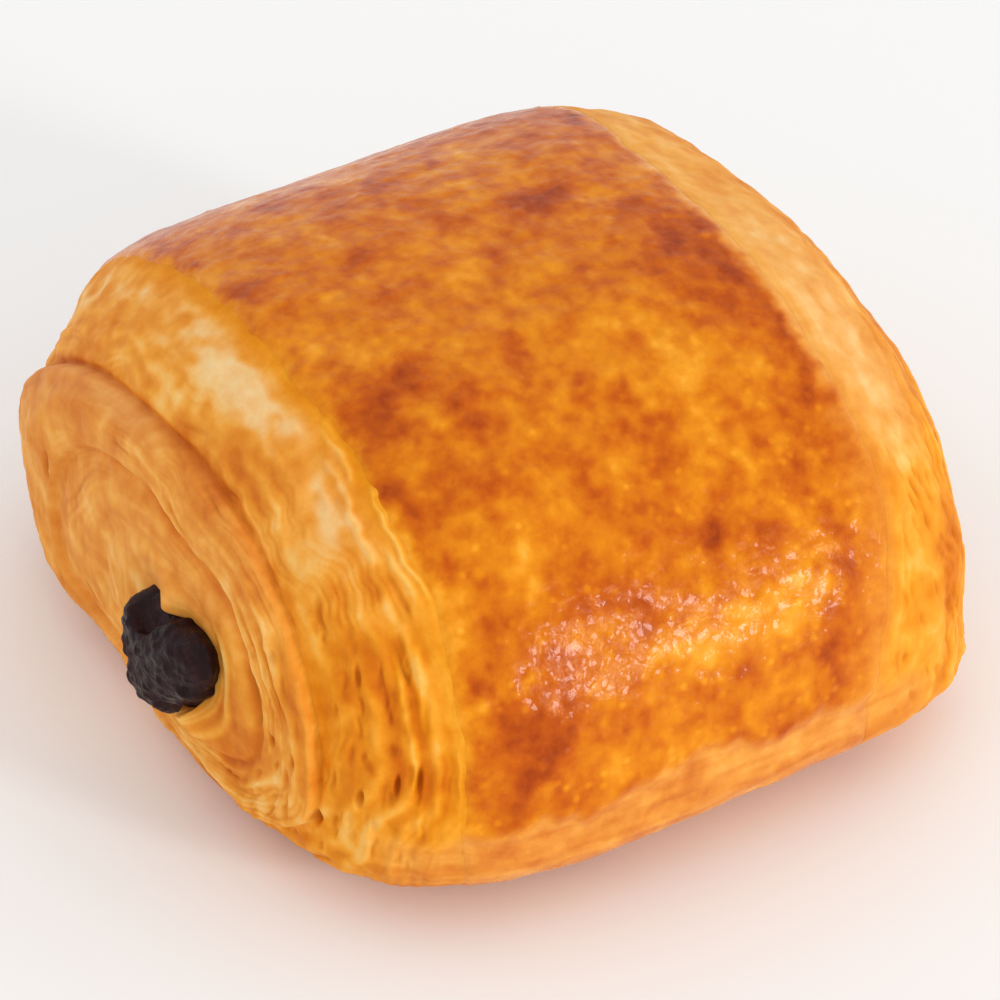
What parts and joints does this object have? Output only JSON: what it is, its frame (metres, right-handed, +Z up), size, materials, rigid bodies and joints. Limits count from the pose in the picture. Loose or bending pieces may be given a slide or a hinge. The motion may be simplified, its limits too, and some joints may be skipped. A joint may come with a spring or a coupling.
{
  "type": "mini pain au chocolat",
  "caption": "Small baked roll of laminated dough with a browned, glazed crust and spiral layered ends, holding one stick of dark chocolate that shows at both ends.",
  "frame": {"origin": "centre of the roll's flat base, on the surface that it rests on", "axes": "+X along the chocolate stick, towards the end that is turned away in the reference view; +Y across the roll, away from the viewer; +Z up"},
  "size_m": [0.0639, 0.068, 0.0357],
  "materials": {
    "baked_dough": "baked laminated dough: glazed golden brown crust over the middle, paler matt layers at both ends",
    "dark_chocolate": "dark baked chocolate, rough and faintly glossy"
  },
  "bodies": {
    "root": {"pastry": "baked_dough", "chocolate_stick": "dark_chocolate"}
  },
  "joints": []
}
